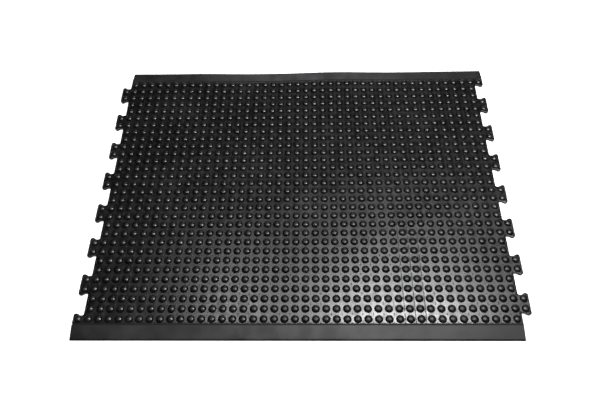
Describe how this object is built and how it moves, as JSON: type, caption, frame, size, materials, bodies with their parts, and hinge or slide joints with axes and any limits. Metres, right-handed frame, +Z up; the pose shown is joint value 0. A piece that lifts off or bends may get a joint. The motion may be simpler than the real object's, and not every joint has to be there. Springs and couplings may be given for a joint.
{
  "type": "anti fatigue mat",
  "caption": "Black rubber standing mat with a grid of hollow bubbles, jigsaw tabs on its two short sides and bevelled ramps along its two long edges.",
  "frame": {"origin": "middle of the mat's underside, on the floor", "axes": "+X along the long side towards the right tabs, +Y across to the rear ramp, +Z up out of the floor"},
  "size_m": [1.2, 0.9, 0.014],
  "materials": {
    "sheet_rubber": "moulded black rubber, satin, softly shiny on the bubbles' crowns",
    "ramp_rubber": "extruded black rubber strip, satin, faint lengthwise drag lines"
  },
  "bodies": {
    "root": {"bubble_sheet": "sheet_rubber", "left_tab_1": "sheet_rubber", "left_tab_2": "sheet_rubber", "left_tab_3": "sheet_rubber", "left_tab_4": "sheet_rubber", "left_tab_5": "sheet_rubber", "left_tab_6": "sheet_rubber", "left_tab_7": "sheet_rubber", "left_tab_8": "sheet_rubber", "right_tab_1": "sheet_rubber", "right_tab_2": "sheet_rubber", "right_tab_3": "sheet_rubber", "right_tab_4": "sheet_rubber", "right_tab_5": "sheet_rubber", "right_tab_6": "sheet_rubber", "right_tab_7": "sheet_rubber", "right_tab_8": "sheet_rubber", "front_ramp": "ramp_rubber", "rear_ramp": "ramp_rubber"}
  },
  "joints": []
}
